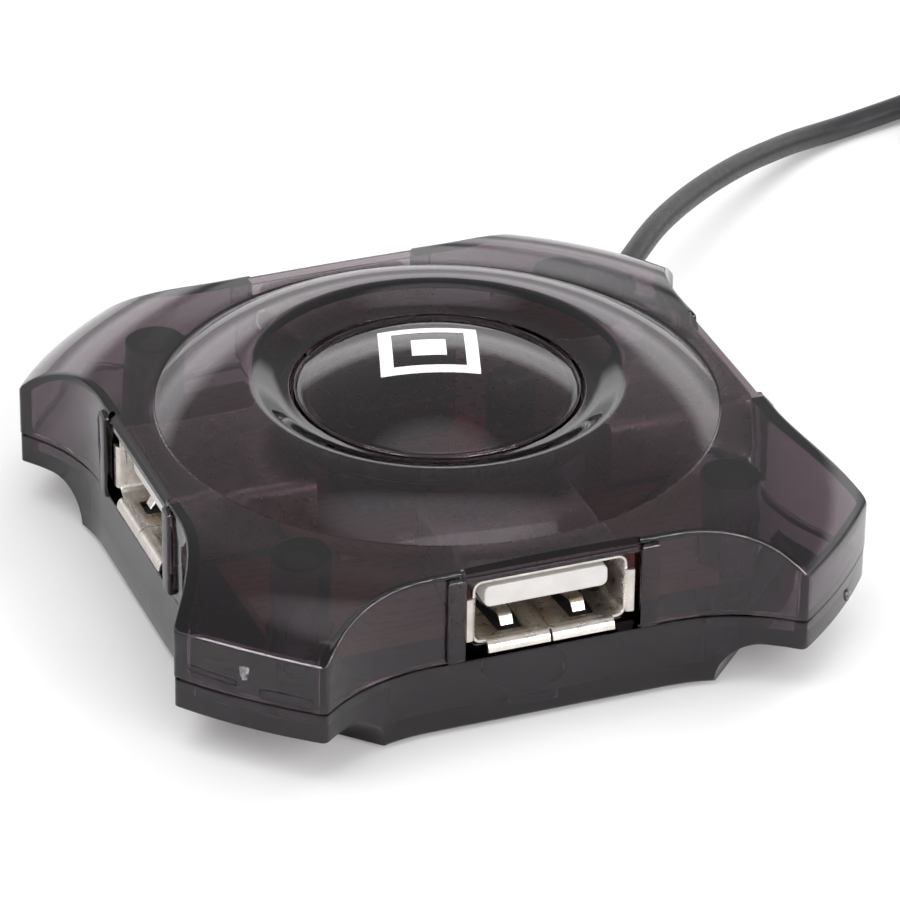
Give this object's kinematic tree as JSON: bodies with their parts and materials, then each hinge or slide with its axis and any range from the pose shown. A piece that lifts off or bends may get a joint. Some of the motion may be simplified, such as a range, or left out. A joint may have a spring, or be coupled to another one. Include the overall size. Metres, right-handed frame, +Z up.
{
  "type": "usb hub",
  "caption": "Compact USB hub: a square translucent case with eared corners, a raised ring round a domed lens, a port on every side and a captive lead with a plug.",
  "frame": {"origin": "on the surface the feet stand on, under the middle of the body", "axes": "+Z up; -Y, +X, +Y and -X look out of the four ports; the lead leaves between +X and +Y"},
  "size_m": [0.1384, 0.0941, 0.0192],
  "materials": {
    "smoke_plastic": "glossy translucent smoke-grey moulding",
    "lens_plastic": "glossy clear smoke moulding with a dimpled underside",
    "nickel_plate": "nickel-plated pressed steel, satin",
    "white_insulator": "white moulded insulator",
    "board_red": "brick-red solder mask on glass-fibre board",
    "chip_black": "matt black chip package",
    "can_metal": "drawn metal can, satin",
    "led_red": "clear red epoxy",
    "ceramic_tan": "tan ceramic with tinned ends",
    "screw_steel": "dark zinc-plated steel",
    "black_rubber": "matt black rubber",
    "cable_black": "satin black PVC",
    "wire_red": "red wire insulation",
    "wire_white": "white wire insulation",
    "wire_green": "green wire insulation",
    "wire_black": "black wire insulation",
    "tie_black": "soft black strap"
  },
  "bodies": {
    "root": {"upper_shell": "smoke_plastic", "lower_shell": "smoke_plastic", "lens_dome": "lens_plastic", "circuit_board": "board_red", "usb_shell_front": "nickel_plate", "usb_insulator_front": "white_insulator", "usb_shell_right": "nickel_plate", "usb_insulator_right": "white_insulator", "usb_shell_back": "nickel_plate", "usb_insulator_back": "white_insulator", "usb_shell_left": "nickel_plate", "usb_insulator_left": "white_insulator", "hub_controller_chip": "chip_black", "crystal_can": "can_metal", "smoothing_capacitor_1": "can_metal", "smoothing_capacitor_2": "can_metal", "indicator_led": "led_red", "ceramic_capacitor_1": "ceramic_tan", "ceramic_capacitor_2": "ceramic_tan", "ceramic_capacitor_3": "ceramic_tan", "ceramic_capacitor_4": "ceramic_tan", "case_screw_1": "screw_steel", "case_screw_2": "screw_steel", "case_screw_3": "screw_steel", "case_screw_4": "screw_steel", "rubber_foot_1": "black_rubber", "rubber_foot_2": "black_rubber", "rubber_foot_3": "black_rubber", "rubber_foot_4": "black_rubber", "cable_grommet": "cable_black", "cable_jacket_end": "cable_black", "wire_red": "wire_red", "wire_white": "wire_white", "wire_green": "wire_green", "wire_black": "wire_black", "cable_lead": "cable_black", "cable_coil": "cable_black", "cable_tail": "cable_black", "coil_tie_1": "tie_black", "coil_tie_2": "tie_black", "plug_strain_relief": "cable_black", "plug_overmould": "cable_black", "plug_shell": "nickel_plate", "plug_insulator": "white_insulator"}
  },
  "joints": []
}
